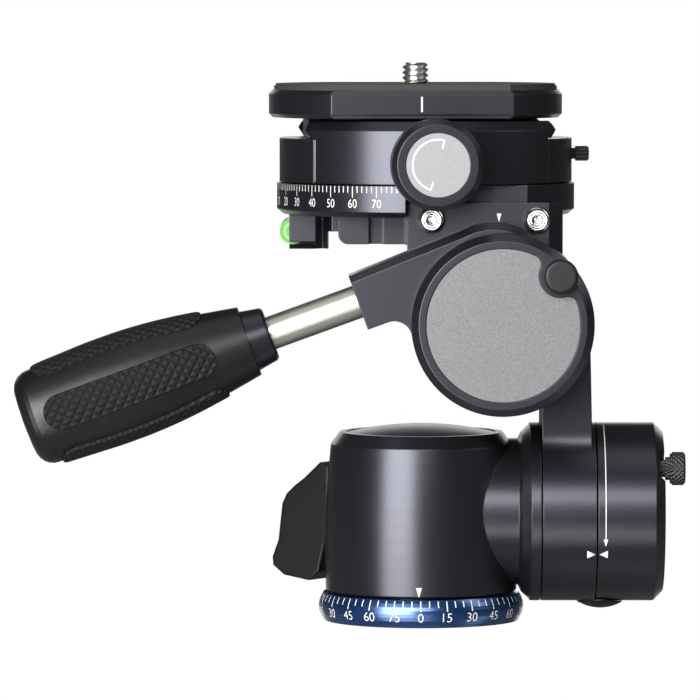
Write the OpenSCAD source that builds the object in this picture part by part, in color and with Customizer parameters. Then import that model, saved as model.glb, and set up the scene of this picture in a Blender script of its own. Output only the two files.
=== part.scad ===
// Four-way tripod head: lower pan, side tilt, fore tilt and upper pan with a dovetail clamp.
// Origin: centre of the bottom face, on the lower pan axis. +X right, +Y back, +Z up. Millimetres.

/* [Base and body] */
// Largest radius of the graduated base ring
dial_r = 24.1; // [23.5:0.1:26]
// Height of the graduated base ring
dial_h = 6.5; // [5.5:0.1:8]
// Radius of the inner foot plate
foot_r = 19.5; // [17:0.1:20.5]
// Wall radius of the tripod socket (3/8 inch thread, minor)
socket_r = 3.97; // [3.9:0.01:4.1]
// Depth of the tripod socket
socket_depth = 11; // [8:0.5:13]
// Widest radius of the barrel body
body_r = 22.6; // [22:0.1:23]
// Height of the body's top edge
body_top = 44.3; // [43:0.1:46]
// Radius of the domed cap
cap_r = 17.6; // [15:0.1:18]
// Rise of the domed cap
cap_rise = 2.1; // [1:0.1:3]
// Radius of the lower pan spindle
spindle_r = 8; // [7:0.1:9]

/* [Side tilt] */
// Height of the side tilt axis
side_z = 25.4; // [25:0.1:26.5]
// Radius of the flange, hub and side knob
hub_r = 21; // [20:0.1:21.5]
// Radius of the stub that carries the flange
stub_r = 17.3; // [15:0.1:18]
// X of the flange's outer face
flange_x = 27.85; // [26.5:0.05:29]
// Length of the hub along its axis
hub_w = 12.55; // [11:0.05:14]
// Length of the side lock knob
side_knob_w = 15.75; // [13:0.1:18]
// Radius of the side axle
side_axle_r = 6; // [5:0.1:6.4]
// Front to back depth of the upright arm
arm_depth = 27; // [24:0.5:28]

/* [Fore tilt] */
// X of the fore tilt axis
tilt_x = 18.3; // [17:0.1:19]
// Height of the fore tilt axis
tilt_z = 71.3; // [71:0.1:73]
// Radius of the tilt barrel, ring and front knob
tilt_r = 21; // [20:0.1:21.1]
// Radius of the fore tilt axle
tilt_axle_r = 6.5; // [5:0.1:8]
// Depth of the tilt ring in front of the arm
ring_depth = 21; // [19:0.1:23]
// Thickness of the front lock knob
front_knob_w = 6.2; // [5:0.1:8]
// Thickness of the cheek plate
cheek_t = 4.2; // [3:0.1:5]

/* [Handle] */
// Slope of the handle below level, in degrees
handle_slope = 20; // [15:0.5:28]
// Offset of the rod's axis from the tilt axis
rod_n = 16; // [15:0.1:17]
// Radius of the steel rod
rod_r = 3.9; // [3.5:0.05:4.2]
// Distance of the bracket's end face from the tilt axis
bracket_u = 29.5; // [28:0.5:32]
// Bare length of rod between bracket and collar
rod_bare = 21.5; // [10:0.1:60]
// Length of the collar
collar_l = 5.2; // [4:0.1:8]
// Length of the grip
grip_l = 55; // [50:0.5:70]
// Largest radius of the grip
grip_r = 11.9; // [11:0.1:13]
// Number of rubber pads round the grip
pad_count = 5; // [3:1:6]
// Width of one rubber pad
pad_w = 8.3; // [6:0.1:9]

/* [Upper pan] */
// X of the upper pan axis
top_x = 1; // [0:0.1:1.5]
// Radius of the pan platform
platform_r = 34.9; // [34:0.1:36]
// Gap between the tilt ring's top and the platform's underside
platform_gap = 3.4; // [3.2:0.1:4.5]
// Thickness of the platform disc
platform_h = 7.3; // [7:0.1:9]
// Thickness of the block under the platform disc
block_h = 6.5; // [6.2:0.1:7.2]
// Turn of the clamp on the platform, in degrees
top_turn = 3; // [-20:1:20]
// Radius of the upper pan spindle
top_spindle_r = 5; // [4:0.1:6]

/* [Clamp and plate] */
// Radius of the clamp disc
clamp_r = 34.3; // [33:0.1:35]
// Thickness of the clamp disc
clamp_h = 10.2; // [9.5:0.1:12]
// Half width of the dovetail rail at its foot
rail_half = 19; // [17:0.05:20]
// Height of the dovetail rail
rail_h = 4.5; // [4:0.05:5]
// Radius of the quick release plate
plate_r = 34.4; // [32:0.1:36]
// Thickness of the quick release plate
plate_h = 6.5; // [6:0.1:9]
// Distance of the plate's front flat from its centre
plate_flat = 27.2; // [25:0.1:31]
// Slide of the plate from the clamp's centre
plate_shift = -2.4; // [-6:0.1:6]
// Radius of the camera screw (1/4 inch thread, major)
screw_r = 3.175; // [3.1:0.005:3.25]
// Length of camera screw above the pad
screw_out = 4.9; // [3:0.1:8]
// Radius of the clamp knob
clamp_knob_r = 10.5; // [9:0.1:10.8]

/* [Pull pins] */
// Radius of a pull pin's head
pin_head_r = 3.9; // [3.2:0.1:4.3]
// Distance of a pull pin's axis inside its knob's rim
pin_inset = 3.6; // [3.5:0.1:4]
// Travel of a pull pin
pin_travel = 2; // [1:0.1:2.2]

/* [Hidden] */
$fn = 96;
seam = 0.3;
run = 0.05;
seat = 0.02;
eps = 0.01;
side_pin_angle = 39.6;
front_pin_angle = 41.1;
hub_x = flange_x + seam;
hub_end = hub_x + hub_w;
knob_x = hub_end + seam;
knob_end = knob_x + side_knob_w;
arm_front = -arm_depth / 2;
ring_back = arm_front - 0.4;
ring_front = ring_back - ring_depth;
knob_back = ring_front - seam;
knob_front = knob_back - front_knob_w;
handle_y = ring_front + 6.5;
collar_u = bracket_u + rod_bare;
grip_u = collar_u + collar_l;
platform_z = tilt_z + tilt_r + platform_gap;
platform_top = platform_z + platform_h;
block_z = platform_z - block_h;
clamp_z = platform_top + seam;
clamp_top = clamp_z + clamp_h;
rail_z = clamp_top + seam;
plate_z = rail_z + rail_h;
pad_z = plate_z + plate_h;
pad_t = 1.4;
pad_top = pad_z + pad_t;
jaw_seam = -21;
jaw_top = plate_z - 2 * seam;
clamp_screw_z = clamp_z + 4.8;
clamp_screw_r = 3;
cheek_left = -3.55;
cheek_right = 32.35;
cheek_back = -26;
cheek_front = cheek_back - cheek_t;
cheek_top = platform_top - 3.9;
cheek_low = tilt_z + 8;
screw_xs = [1.85, 26.2];
screw_z = cheek_top - 3.95;
screw_head_r = 3.1;
rod_in = 4;

// A cylinder along X from x0 to x1.
module bar_x(x0, x1, r) {
  translate([x0, 0, 0]) rotate([0, 90, 0]) cylinder(h = x1 - x0, r = r);
}

// A cylinder along Y from y0 to y1, with y0 the lower value.
module bar_y(y0, y1, r) {
  translate([0, y0, 0]) rotate([-90, 0, 0]) cylinder(h = y1 - y0, r = r);
}

// A cone along X.
module cone_x(x0, x1, r0, r1) {
  translate([x0, 0, 0]) rotate([0, 90, 0]) cylinder(h = x1 - x0, r1 = r0, r2 = r1);
}

// A cone along Y, r0 at y0.
module cone_y(y0, y1, r0, r1) {
  translate([0, y0, 0]) rotate([-90, 0, 0]) cylinder(h = y1 - y0, r1 = r0, r2 = r1);
}

// A tube along Z.
module tube(z0, z1, r_out, r_in) {
  translate([0, 0, z0]) difference() {
    cylinder(h = z1 - z0, r = r_out);
    translate([0, 0, -1]) cylinder(h = z1 - z0 + 2, r = r_in);
  }
}

module at_side() translate([0, 0, side_z]) children();
module at_tilt() translate([tilt_x, 0, tilt_z]) children();
module at_top() translate([top_x, 0, 0]) children();
module at_clamp() at_top() rotate([0, 0, top_turn]) children();
module at_plate() at_clamp() translate([plate_shift, 0, 0]) children();

// Puts the handle's length along -X of its own frame, with the rod's axis at the origin.
module at_handle() {
  at_tilt() rotate([0, -handle_slope, 0]) translate([0, handle_y, rod_n]) children();
}

// Lower base

foot_bore = 6.5;
foot_screw_r = 1.5;
flange_z = 5.4;
flange_h = 3;
flange_r = 12.5;

module foot_screw_places() {
  for (a = [30 : 120 : 270]) rotate([0, 0, a]) translate([9.6, 0, 0]) children();
}

module foot_plate() color("#202124") difference() {
  cylinder(h = flange_z, r = foot_r);
  translate([0, 0, -1]) cylinder(h = flange_z + 2, r = foot_bore + seat);
  foot_screw_places() translate([0, 0, -1]) cylinder(h = flange_z + 2, r = foot_screw_r + run);
  foot_screw_places() translate([0, 0, -1]) cylinder(h = 3, r = 2.9);
}

function dial_arc_r(t) = dial_r - 1.1 * pow(2 * t - 1, 2);

module base_dial_ring() color("#2a5a9c") rotate_extrude() polygon(concat(
  [[foot_r + seat, 0]],
  [for (i = [0 : 8]) [dial_arc_r(i / 8), i / 8 * dial_h]],
  [[foot_r + seat, dial_h]]
));

module tripod_socket() color("#9a9a98") difference() {
  cylinder(h = socket_depth, r = foot_bore);
  translate([0, 0, -1]) cylinder(h = socket_depth + 2, r = socket_r);
}

spindle_top = 39.5;
shoulder_z = 33.3;

module pan_spindle() color("#8f9092") difference() {
  union() {
    translate([0, 0, flange_z]) cylinder(h = flange_h, r = flange_r);
    translate([0, 0, flange_z]) cylinder(h = shoulder_z - flange_z, r = spindle_r);
    translate([0, 0, shoulder_z]) cylinder(h = spindle_top - shoulder_z, r = 5);
  }
  translate([0, 0, -1]) cylinder(h = socket_depth + 1 + seat, r = foot_bore + seat);
  foot_screw_places() cylinder(h = flange_z + 2.5, r = foot_screw_r + seat);
}

module foot_screws() color("#b8b8b6") foot_screw_places() {
  translate([0, 0, 0.2]) cylinder(h = 1.75, r = 2.7);
  translate([0, 0, 1.9]) cylinder(h = flange_z + 0.4, r = foot_screw_r);
}

module spindle_washer() color("#a8a8a6") tube(shoulder_z, shoulder_z + 1.4, 11.5, 5 + run);

module spindle_nut() color("#a8a8a6") difference() {
  translate([0, 0, shoulder_z + 1.4]) cylinder(h = 4, r = 8.5, $fn = 6);
  cylinder(h = 60, r = 5 + seat);
}

// Main body

function body_arc_r(z) = body_r - 0.0021 * pow(z - 16, 2);

body_z = dial_h + seam;
body_edge_z = body_top - 2.9;
axle_in = 10.2;
lever_angle = 147;
lever_z = 22;
lock_screw_r = 2.4;

module at_lever() translate([0, 0, lever_z]) rotate([0, 0, lever_angle]) children();

module body_shell() {
  rotate_extrude() polygon(concat(
    [[0, body_z], [body_arc_r(body_z) - 0.4, body_z]],
    [for (i = [0 : 10]) let (z = body_z + 0.4 + i / 10 * (body_edge_z - body_z - 0.4)) [body_arc_r(z), z]],
    [[body_arc_r(body_edge_z) - 2.1, body_top], [0, body_top]]
  ));
}

module main_body() color("#232427") difference() {
  union() {
    body_shell();
    at_side() bar_x(0, flange_x - 4.4, stub_r);
    at_side() cone_x(flange_x - 5.2, flange_x - 4.4, stub_r - 0.2, hub_r - 2.2);
    at_side() cone_x(flange_x - 4.4, flange_x - 2.4, hub_r - 2.2, hub_r - 0.3);
    at_side() bar_x(flange_x - 2.4, flange_x, hub_r);
  }
  translate([0, 0, body_z - 1]) cylinder(h = flange_z + flange_h + seam - body_z + 1, r = flange_r + seam);
  cylinder(h = body_top, r = spindle_r + run);
  translate([0, 0, shoulder_z - seam]) cylinder(h = body_top, r = 14);
  translate([0, 0, body_top - 2]) cylinder(h = 3, r = cap_r + seat);
  at_side() bar_x(axle_in - seam, flange_x + 1, side_axle_r + run);
  at_side() bar_x(flange_x - 1.6, flange_x + 1, 15);
  translate([axle_in + 3.2, side_axle_r, -1]) cylinder(h = side_z + side_axle_r + 1 + seat, r = 1.2 + seat);
  at_lever() bar_x(spindle_r - 1, body_r + 3, lock_screw_r + run);
}

module body_cap() color("#1d1e20") {
  cap_sphere = (cap_r * cap_r + cap_rise * cap_rise) / (2 * cap_rise);
  translate([0, 0, body_top - 2]) cylinder(h = 1.7, r = cap_r);
  intersection() {
    translate([0, 0, body_top - 0.3 + cap_rise - cap_sphere]) sphere(r = cap_sphere, $fn = 160);
    translate([0, 0, body_top - 0.31]) cylinder(h = cap_rise + 1, r = cap_r);
  }
}

module brake_shoe() color("#b08a4a") at_lever() difference() {
  bar_x(spindle_r - 1, spindle_r + 3.4, lock_screw_r);
  translate([0, 0, -lever_z]) cylinder(h = 60, r = spindle_r + 0.1);
}

module axle_retaining_pin() color("#a8a8a6") {
  pin_low = side_z - sqrt(stub_r * stub_r - side_axle_r * side_axle_r) + 0.6;
  translate([axle_in + 3.2, side_axle_r, pin_low]) cylinder(h = side_z + side_axle_r - pin_low, r = 1.2);
}

// Pan lock lever

lever_foot = body_r + 1;
lever_t = 8;
lever_hub_r = 4;

module lever_side() polygon([
  [lever_foot, 13.2], [lever_foot + 2.2, 14.2], [lever_foot + 6.7, 10.3], [lever_foot + 9.4, 8.4],
  [lever_foot + 11.8, 6.3], [lever_foot + 13, 3.9], [lever_foot + 13.5, 0], [lever_foot + 14.1, -4.8],
  [lever_foot + 15.8, -8.9], [lever_foot + 15.6, -10.9], [lever_foot + 12.5, -13.1],
  [lever_foot + 5.4, -14.1], [lever_foot + 2.8, -11.9], [lever_foot + 1.2, -5.5], [lever_foot, -5.5]
]);

module pan_lock_lever() color("#1b1c1e") at_lever() difference() {
  union() {
    bar_x(lever_foot, lever_foot + 9, lever_hub_r);
    translate([0, lever_t / 2, 0]) rotate([90, 0, 0]) linear_extrude(height = lever_t) lever_side();
  }
  bar_x(0, lever_foot + 7, lock_screw_r + seat);
}

module pan_lock_screw() color("#8f9092") at_lever() bar_x(spindle_r + 3.5, lever_foot + 6.8, lock_screw_r);

// Hub and upright arm

arm_right = hub_end - 1;
arm_cove = 8;
hub_recess = 13.6;
dog_x = hub_end - 2.2;

module arm_cove_fill(side) {
  cove_z = sqrt(pow(hub_r + arm_cove, 2) - pow(arm_depth / 2 + arm_cove, 2));
  cove_y = arm_depth / 2 + arm_cove;
  touch = hub_r / (hub_r + arm_cove);
  translate([hub_x, 0, side_z]) rotate([90, 0, 90]) linear_extrude(height = arm_right - hub_x) difference() {
    polygon([
      [side * arm_depth / 2, cove_z], [side * (arm_depth / 2 - 2), cove_z],
      [side * (arm_depth / 2 - 2), cove_z - 7], [side * cove_y * touch, cove_z * touch]
    ]);
    translate([side * cove_y, cove_z]) circle(r = arm_cove);
  }
}

module hub_arm() color("#232427") difference() {
  union() {
    at_side() bar_x(hub_x, hub_end, hub_r);
    translate([0, arm_depth / 2, 0]) rotate([90, 0, 0]) linear_extrude(height = arm_depth) polygon([
      [hub_x, side_z], [arm_right, side_z], [arm_right, side_z + hub_r + 2],
      [tilt_x + tilt_r - 0.1, tilt_z], [tilt_x, tilt_z], [hub_x, tilt_z - 10]
    ]);
    arm_cove_fill(-1);
    arm_cove_fill(1);
    at_tilt() bar_y(arm_front, arm_depth / 2, tilt_r);
  }
  at_side() bar_x(hub_x - 1, hub_end + 1, side_axle_r + seat);
  at_side() bar_x(hub_x - 1, hub_x + 1.6, hub_recess);
  at_tilt() bar_y(arm_front - 1, arm_depth / 2 + 1, tilt_axle_r + seat);
  at_tilt() bar_y(arm_front - 1, arm_front + 1.2, 14);
  translate([dog_x, 0, 0]) cylinder(h = side_z - hub_r + 7, r = 1.5 + seat);
}

module side_axle() color("#8f9092") at_side() difference() {
  union() {
    bar_x(axle_in, hub_end, side_axle_r);
    bar_x(hub_end - 1, knob_end - 4.2, 5);
  }
  difference() {
    bar_x(axle_in + 1.7, axle_in + 4.7, side_axle_r + 1);
    bar_x(axle_in + 1, axle_in + 6, side_axle_r - 1.4);
  }
}

module hub_friction_ring() color("#c9b98a") at_side() difference() {
  bar_x(hub_x - 1.5, hub_x + 1.55, hub_recess - 0.1);
  bar_x(hub_x - 2, hub_x + 2, side_axle_r + run);
}

module tilt_axle() color("#8f9092") at_tilt() {
  bar_y(ring_front + 0.3, arm_depth / 2 + 1.5, tilt_axle_r);
  bar_y(knob_front + 1.9, ring_front + 1, 4.5);
}

module tilt_friction_ring() color("#c9b98a") at_tilt() difference() {
  bar_y(arm_front - 0.3, arm_front + 1.18, 13.9);
  bar_y(arm_front - 1, arm_front + 2, tilt_axle_r + run);
}

module axle_rear_cap() color("#232427") at_tilt() difference() {
  union() {
    bar_y(arm_depth / 2, arm_depth / 2 + 3, 13.5);
    cone_y(arm_depth / 2 + 3, arm_depth / 2 + 4.2, 13.5, 12.3);
  }
  bar_y(arm_depth / 2 - 1, arm_depth / 2 + 1.6, tilt_axle_r + seat);
  bar_y(arm_depth / 2 + 3.4, arm_depth / 2 + 6, 9);
}

// Side lock knob and its pull pin

module at_side_pin() {
  at_side() rotate([-side_pin_angle, 0, 0]) translate([0, pin_inset - hub_r, 0]) children();
}

module side_lock_knob() color("#232427") difference() {
  union() {
    at_side() bar_x(knob_x, knob_end - 2.2, hub_r);
    at_side() cone_x(knob_end - 2.2, knob_end, hub_r, hub_r - 2.2);
  }
  at_side() bar_x(knob_x - 1, knob_end - 3.9, 5 + run);
  at_side() bar_x(knob_end - 0.6, knob_end + 1, 15);
  at_side_pin() bar_x(knob_end - 1.4, knob_end + 3, pin_head_r + 0.4);
  at_side_pin() bar_x(knob_end - 8, knob_end + 3, 2.05);
  at_side_pin() bar_x(knob_x + 2, knob_end - 3.4, 2.75);
}

pin_gap = 1.2;
side_pin_depth = 11.2;
front_pin_depth = 5.9;
pin_head_h = 3.5;

// A pull pin along X: x = 0 is the face that its head stands off from.
module pull_pin(depth) {
  bar_x(-depth, pin_gap + eps, 2);
  bar_x(0.1, pin_gap + eps, 2.7);
  bar_x(-depth + 0.4, -depth + 1.6, 2.65);
  bar_x(pin_gap, pin_gap + 0.5, pin_head_r - 0.35);
  bar_x(pin_gap + 0.5, pin_gap + pin_head_h - 0.5, pin_head_r);
  cone_x(pin_gap + pin_head_h - 0.5, pin_gap + pin_head_h, pin_head_r, pin_head_r - 0.5);
}

module side_pull_pin() color("#5a5b5e") at_side_pin() translate([knob_end, 0, 0]) pull_pin(side_pin_depth);

module side_pin_spring() color("#b0b0ae") at_side_pin() difference() {
  bar_x(knob_end - side_pin_depth + 1.7 + pin_travel, knob_end - 3.45, 2.6);
  bar_x(knob_end - side_pin_depth, knob_end - 3, 2.1);
}

// A domed dog screwed to the hub. It hooks over the lock knob's rim.
module rim_dog() color("#1b1c1e") {
  dome_r = 10.2;
  dome_drop = 1.75;
  translate([dog_x, 0, side_z - hub_r - 0.5]) cylinder(h = 7, r = 1.5);
  difference() {
    translate([hub_end + 1.5, 0, side_z - hub_r - dome_drop + dome_r]) sphere(r = dome_r);
    at_side() bar_x(0, hub_end + 0.1, hub_r);
    at_side() bar_x(hub_end - 0.1, 80, hub_r + seam);
  }
}

// Tilt bracket: ring, cheek plate and handle boss in one casting

chamfer = 1.6;
boss_depth = 14;
boss_low = 9.4;
boss_top = 23.4;
boss_taper = 1.9;
boss_cove = 4.1;
crown_x = -2;
crown_z = 8.3;
crown_r = norm([screw_xs[1] - tilt_x - crown_x, screw_z - tilt_z - crown_z]) - screw_head_r - seam;

// The handle boss in its own frame: -X out along the handle, Z square to it, tilt axis at the origin.
module boss_outline() {
  cove_z = boss_low - boss_cove;
  cove_x = -sqrt(pow(tilt_r + boss_cove, 2) - pow(cove_z, 2));
  touch = tilt_r / (tilt_r + boss_cove);
  difference() {
    polygon([
      [0, -4], [cove_x * touch, cove_z * touch], [cove_x, cove_z], [cove_x, boss_low],
      [-bracket_u, boss_low], [-bracket_u, boss_top + 1], [0, boss_top + 1]
    ]);
    translate([cove_x, cove_z]) circle(r = boss_cove + eps);
  }
}

module handle_boss() difference() {
  difference() {
    translate([0, ring_front + boss_depth, 0]) rotate([90, 0, 0]) linear_extrude(height = boss_depth)
      rotate(handle_slope) boss_outline();
    rotate([0, -handle_slope, 0]) translate([0, ring_front, boss_top]) rotate([0, -boss_taper, 0]) {
      translate([-60, -10, 0]) cube([120, 60, 20]);
      translate([-60, 0, -chamfer]) rotate([45, 0, 0]) translate([0, -20, 0]) cube([120, 40, 20]);
    }
  }
  translate([cheek_left - tilt_x - 1, cheek_back, block_z - seam - tilt_z]) cube([60, 40, 40]);
}

// The rounded top of the boss in front of the cheek plate.
module boss_crown() translate([crown_x, 0, crown_z]) {
  bar_y(ring_front + chamfer, cheek_back, crown_r);
  cone_y(ring_front, ring_front + chamfer, crown_r - chamfer, crown_r);
}

module cheek() difference() {
  translate([cheek_left, cheek_front, cheek_low]) cube([cheek_right - cheek_left, cheek_t, cheek_top - cheek_low]);
  translate([cheek_right - 3.2, cheek_front, tilt_z - 1]) rotate([0, 0, 45]) translate([0, -6, 0]) cube([10, 6, 60]);
}

module tilt_bracket() color("#232427") difference() {
  union() {
    at_tilt() bar_y(ring_front, ring_back, tilt_r);
    at_tilt() handle_boss();
    at_tilt() boss_crown();
    cheek();
  }
  at_tilt() bar_y(ring_front - 1, ring_back + 1, tilt_axle_r + run);
  at_handle() bar_x(-bracket_u - 1, -rod_in + 0.3, rod_r + run);
  for (x = screw_xs) translate([x, 0, screw_z]) bar_y(cheek_front - 1, cheek_back + 1, 2.2);
}

module cheek_screws() color("#d6d6d2") for (x = screw_xs) translate([x, 0, screw_z]) difference() {
  union() {
    bar_y(cheek_front - 1.2, cheek_front - 0.02, screw_head_r);
    cone_y(cheek_front - 2.2, cheek_front - 1.2, screw_head_r - 0.8, screw_head_r);
    bar_y(cheek_front - 0.1, cheek_back + 8, 2);
  }
  translate([0, cheek_front - 0.3, 0]) rotate([90, 0, 0]) cylinder(h = 3, r = 1.35, $fn = 6);
}

// Front lock knob, its face plate and its pull pin

front_pin_x = tilt_r - pin_inset;
face_r = tilt_r - 3.4;
notch_r = 5.05;
notch_fillet = 2;

module at_front_pin() {
  at_tilt() rotate([0, -front_pin_angle, 0]) translate([front_pin_x, 0, 0]) rotate([0, 0, -90]) children();
}

// Outline of the face plate, with its notch round the pin on the +X side.
module face_outline(grow) {
  r_out = face_r + grow;
  r_notch = notch_r - grow;
  reach = r_out - notch_fillet;
  turn = acos((reach * reach + front_pin_x * front_pin_x - pow(r_notch + notch_fillet, 2)) / (2 * reach * front_pin_x));
  difference() {
    circle(r = r_out);
    translate([front_pin_x, 0]) circle(r = r_notch);
    for (side = [-1, 1]) difference() {
      polygon([
        [front_pin_x, 0], reach * [cos(turn), side * sin(turn)], 1.2 * r_out * [cos(turn), side * sin(turn)],
        [1.2 * r_out, 0]
      ]);
      rotate(side * turn) translate([reach, 0]) circle(r = notch_fillet + eps);
    }
  }
}

// The face plate's outline as a disc from y0 to y1, at the tilt axis.
module face_disc(y0, y1, grow) {
  at_tilt() translate([0, y1, 0]) rotate([90, 0, 0]) linear_extrude(height = y1 - y0)
    rotate(front_pin_angle) face_outline(grow);
}

module front_lock_knob() color("#1f2023") difference() {
  union() {
    at_tilt() bar_y(knob_front + 1.7, knob_back, tilt_r);
    at_tilt() cone_y(knob_front, knob_front + 1.7, tilt_r - 1.7, tilt_r);
  }
  at_tilt() bar_y(knob_front + 1.5, knob_back + 1, 4.5 + run);
  face_disc(knob_front - 1, knob_front + 0.5, 0.05);
  at_front_pin() bar_x(-knob_front - 4.6, -knob_front + 3, 2.05);
  at_front_pin() bar_x(-knob_back - 1, -knob_front - 1.2, 2.75);
}

module front_knob_plate() color("#9b9b9a") face_disc(knob_front - 0.1, knob_front + 0.48, -0.05);

module front_pull_pin() color("#3a3b3e") at_front_pin() translate([-knob_front, 0, 0]) pull_pin(front_pin_depth);

module front_pin_spring() color("#b0b0ae") at_front_pin() difference() {
  bar_x(-knob_front - front_pin_depth + 1.7 + pin_travel, -knob_front - 1.25, 2.6);
  bar_x(-knob_front - 5, -knob_front, 2.1);
}

// Handle

module handle_rod() color("#c9c7c0") at_handle() bar_x(-grip_u - 30, -rod_in, rod_r);

module handle_collar() color("#26272a") at_handle() difference() {
  union() {
    cone_x(-grip_u, -collar_u - 0.5, 7.2, 6.4);
    cone_x(-collar_u - 0.5, -collar_u, 6.4, 5.9);
  }
  bar_x(-grip_u - 1, -collar_u + 1, rod_r + seat);
}

grip_end = 4.2;

// Radius of the grip at t from its front (0) to its closed end (1).
function grip_rad(t) = 8.3 + (grip_r - 8.3) * sin(min(1, t / 0.62) * 90) - max(0, t - 0.7) * 2.2;

module grip_solid(grow) {
  steps = 14;
  translate([-grip_u, 0, 0]) rotate([0, -90, 0]) rotate_extrude() polygon(concat(
    [[0, 0]],
    [for (i = [0 : steps]) let (t = i / steps) [grip_rad(t) + grow, t * (grip_l - grip_end)]],
    [for (a = [15 : 15 : 75])
      [grip_rad(1) + grow - grip_end * (1 - cos(a)), grip_l - grip_end + grip_end * sin(a)]],
    [[0, grip_l + 0.5]]
  ));
}

module pad_prism(w, l) {
  translate([-grip_u - pad_from - l / 2, 0, 0]) {
    for (side = [-1, 1]) translate([side * (l - w) / 2, 0, 0]) cylinder(h = 30, r = w / 2);
    translate([(w - l) / 2, -w / 2, 0]) cube([l - w, w, 30]);
  }
}

pad_from = 8.3;
pad_l = 41.5;
pad_proud = 0.7;
pad_sink = 1.2;

module pads_at() for (i = [0 : pad_count - 1]) rotate([i * 360 / pad_count + 90, 0, 0]) children();

module handle_grip() color("#1c1d1f") at_handle() difference() {
  grip_solid(0);
  bar_x(-grip_u - 30.3, -grip_u + 1, rod_r + seat);
  difference() {
    pads_at() pad_prism(pad_w, pad_l);
    grip_solid(-pad_sink);
  }
}

module grip_pads() color("#2b2c2e") at_handle() difference() {
  intersection() {
    pads_at() pad_prism(pad_w - 0.2, pad_l - 0.2);
    grip_solid(pad_proud);
  }
  grip_solid(-pad_sink + 0.02);
}

// Upper pan platform

under_left = -19.5;
under_right = 28.5;
relief_r = tilt_r + 0.5;
block_y = 46;
lug_y = 11;
block_front = 4;
slot_x = -12.35;
slot_w = 3.3;
nut_r = 7;
lock_z = platform_z - 3.3;
lock_r = 2;
lock_knob_r = 4.9;
lock_lug_y = platform_r - 1.9;
ring_out = 23.6;
ring_in = 19.6;

module pan_platform() color("#26272a") difference() {
  union() {
    at_top() translate([0, 0, platform_z + 1.2]) cylinder(h = platform_h - 1.2, r = platform_r);
    at_top() translate([0, 0, platform_z]) cylinder(h = 1.2, r1 = platform_r - 1.5, r2 = platform_r);
    at_top() translate([-6, 0, block_z]) cube([12, lock_lug_y, block_h + 1]);
    translate([under_left + 2.4, cheek_back, block_z]) cube([tilt_x - under_left - 2.4, block_y, block_h + 1]);
    translate([tilt_x - 1, cheek_back, block_z]) cube([under_right - tilt_x + 1, lug_y, block_h + 1]);
    translate([under_left, cheek_back, block_z + 2.4]) cube([10, block_y, block_h - 1]);
    translate([under_left + 2.4, 0, block_z + 2.4]) bar_y(cheek_back, cheek_back + block_y, 2.4);
  }
  translate([cheek_left - 0.4, cheek_back - 20, block_z - 1]) cube([80, 20, 40]);
  translate([under_left - 1, cheek_back - 1, block_z - 1])
    cube([cheek_left - under_left + 0.6, block_front + 1, block_h + 1]);
  at_tilt() bar_y(-60, 60, relief_r);
  translate([slot_x, cheek_back, block_z - 1]) cube([slot_w, block_front + 2.5, block_h + 1]);
  at_top() translate([0, 0, block_z - 1]) cylinder(h = block_h + 1, r = nut_r + 0.4);
  at_top() cylinder(h = 200, r = top_spindle_r + run);
  at_top() tube(platform_top - 1.4, platform_top + 1, ring_out + 0.1, ring_in - 0.1);
  for (x = screw_xs) translate([x, 0, screw_z]) bar_y(cheek_back - 1, cheek_back + 8.1, 2 + seat);
  at_top() translate([0, 0, lock_z]) bar_y(0, 60, lock_r + run);
}

module top_bearing_ring() color("#c9b98a") at_top() tube(platform_top - 1.38, platform_top + 0.12, ring_out, ring_in);

level_x = -30.15;
level_z = block_z + 2.5;
level_low = block_z - 1.6;
vial_r = 3.05;
level_left = -30.95;
level_right = -21.8;

module level_block() color("#2a2b2e") difference() {
  union() {
    translate([level_left, -10, level_low]) cube([level_right - level_left, 20, platform_z - level_low - eps]);
    translate([level_right - 1, -8, block_z + 2.45]) cube([under_left - level_right + 0.98, 16, block_h - 2.55]);
  }
  translate([level_x, 0, level_z]) bar_y(-7.6, 7.6, vial_r + seat);
  translate([-40, -10, level_low]) rotate([45, 0, 0]) translate([0, -3, -1.2]) cube([30, 6, 2.4]);
  translate([level_right, -10, block_z - 3]) rotate([0, 0, 45]) translate([-2, -4, 0]) cube([4, 8, 20]);
}

module level_vial() color("#7fd060") translate([level_x, 0, level_z]) bar_y(-7.5, 7.5, vial_r);

module top_brake_pad() color("#b08a4a") at_top() difference() {
  translate([0, 0, lock_z]) bar_y(nut_r - 1, nut_r + 3, lock_r);
  cylinder(h = 200, r = nut_r + 0.1);
}

module top_lock_screw() color("#b0b0ae") at_top() translate([0, 0, lock_z])
  bar_y(nut_r + 3.1, platform_r + 6, lock_r);

module top_pan_lock_knob() color("#1f2023") at_top() translate([0, 0, lock_z]) difference() {
  union() {
    bar_y(platform_r + 0.5, platform_r + 2, lock_knob_r - 1.2);
    bar_y(platform_r + 2, platform_r + 9, lock_knob_r);
    cone_y(platform_r + 9, platform_r + 9.8, lock_knob_r, lock_knob_r - 0.8);
  }
  bar_y(platform_r, platform_r + 6.2, lock_r + seat);
}

// Clamp

rail_foot = 0.4;
rail_flank = 2.6;
screw_in = -6.5;
spindle_in = 4.6;
guide_xs = [-16, 16];
guide_r = 1.6;
button_x = clamp_r;
button_travel = 1.5;
button_r = 1.75;
button_neck_r = 1.3;

module at_button() translate([0, 0, clamp_top - 3.8]) children();

// The dovetail opening's outline on one side, seen along X: y is the distance from the middle.
function lip(grow) = [
  [rail_half + seam + rail_foot + grow * 1.4, clamp_top],
  [rail_half - rail_flank + grow, rail_z + rail_foot + rail_flank + grow * 0.4],
  [rail_half - rail_flank + grow, jaw_top + 2]
];

module clamp_disc(z0, z1) {
  translate([0, 0, z0]) cylinder(h = z1 - z0 - 2.1, r = clamp_r);
  translate([0, 0, z1 - 2.1]) cylinder(h = 2.1, r1 = clamp_r, r2 = clamp_r - 2.1);
}

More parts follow.
